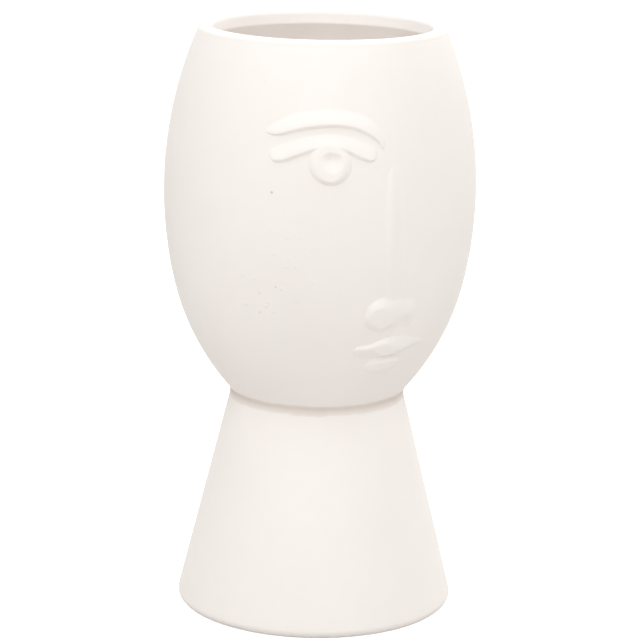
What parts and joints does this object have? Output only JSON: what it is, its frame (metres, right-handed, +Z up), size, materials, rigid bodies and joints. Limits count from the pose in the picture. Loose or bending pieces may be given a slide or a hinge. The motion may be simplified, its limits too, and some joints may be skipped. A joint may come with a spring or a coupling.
{
  "type": "face vase",
  "caption": "Matte white ceramic vase: an open barrel-shaped head with an abstract one-eyed face in relief, luted onto a hollow conical foot.",
  "frame": {"origin": "centre of the foot's standing circle, on the floor", "axes": "+Z up along the vase's axis, the face looks along -Y, and +X is to the right of someone looking at the face"},
  "size_m": [0.1204, 0.1211, 0.228],
  "materials": {
    "white_bisque": "matte",
    "fired_slip": "matte"
  },
  "bodies": {
    "root": {"head_vessel": "white_bisque", "pedestal_foot": "white_bisque", "luting_ring": "fired_slip", "brow": "white_bisque", "upper_eyelid": "white_bisque", "iris": "white_bisque", "nose_bridge": "white_bisque", "nostril_left": "white_bisque", "nostril_right": "white_bisque", "upper_lip": "white_bisque", "lower_lip": "white_bisque"}
  },
  "joints": []
}
